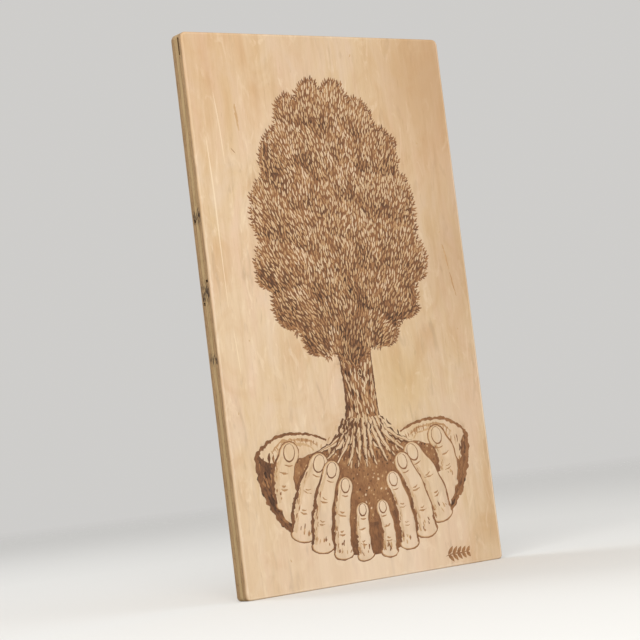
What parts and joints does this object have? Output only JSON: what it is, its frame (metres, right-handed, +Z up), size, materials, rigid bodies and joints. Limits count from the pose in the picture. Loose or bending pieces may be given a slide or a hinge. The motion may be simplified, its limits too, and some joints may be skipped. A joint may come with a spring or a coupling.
{
  "type": "wood-burned plywood wall plaque",
  "caption": "Upright five-ply plywood plaque with a tree and cupped hands burned into its face, swinging hanging rings and bumpers on its back.",
  "frame": {"origin": "middle of the board's bottom edge, halfway through the board's thickness", "axes": "+X to the viewer's right, +Y out of the back towards the wall, +Z up; the burned face looks along -Y"},
  "size_m": [0.305, 0.0225, 0.527],
  "materials": {
    "face_wood": "sanded and oiled pale veneer",
    "cross_wood": "sanded end grain",
    "core_wood": "sanded long grain",
    "zinc_steel": "bright zinc plate",
    "screw_steel": "zinc plate",
    "bumper_rubber": "matt black rubber"
  },
  "bodies": {
    "plaque": {"front_face_veneer": "face_wood", "front_cross_ply_lower": "cross_wood", "front_cross_ply_upper": "cross_wood", "core_ply_left": "core_wood", "core_ply_right": "core_wood", "rear_cross_ply_lower": "cross_wood", "rear_cross_ply_middle": "cross_wood", "rear_cross_ply_upper": "cross_wood", "back_face_veneer": "face_wood", "left_hanger_strap": "zinc_steel", "right_hanger_strap": "zinc_steel", "left_hanger_screw": "screw_steel", "right_hanger_screw": "screw_steel", "left_bumper": "bumper_rubber", "right_bumper": "bumper_rubber"},
    "left_ring": {"left_hanging_ring": "zinc_steel"},
    "right_ring": {"right_hanging_ring": "zinc_steel"}
  },
  "joints": [
    {"name": "left_ring_swing", "type": "hinge", "parent": "plaque", "child": "left_ring", "pos_m": [-0.095, 0.01085, 0.452], "axis": [1, 0, 0], "range_deg": [0, 176]},
    {"name": "right_ring_swing", "type": "hinge", "parent": "plaque", "child": "right_ring", "pos_m": [0.095, 0.01085, 0.452], "axis": [1, 0, 0], "range_deg": [0, 176]}
  ]
}
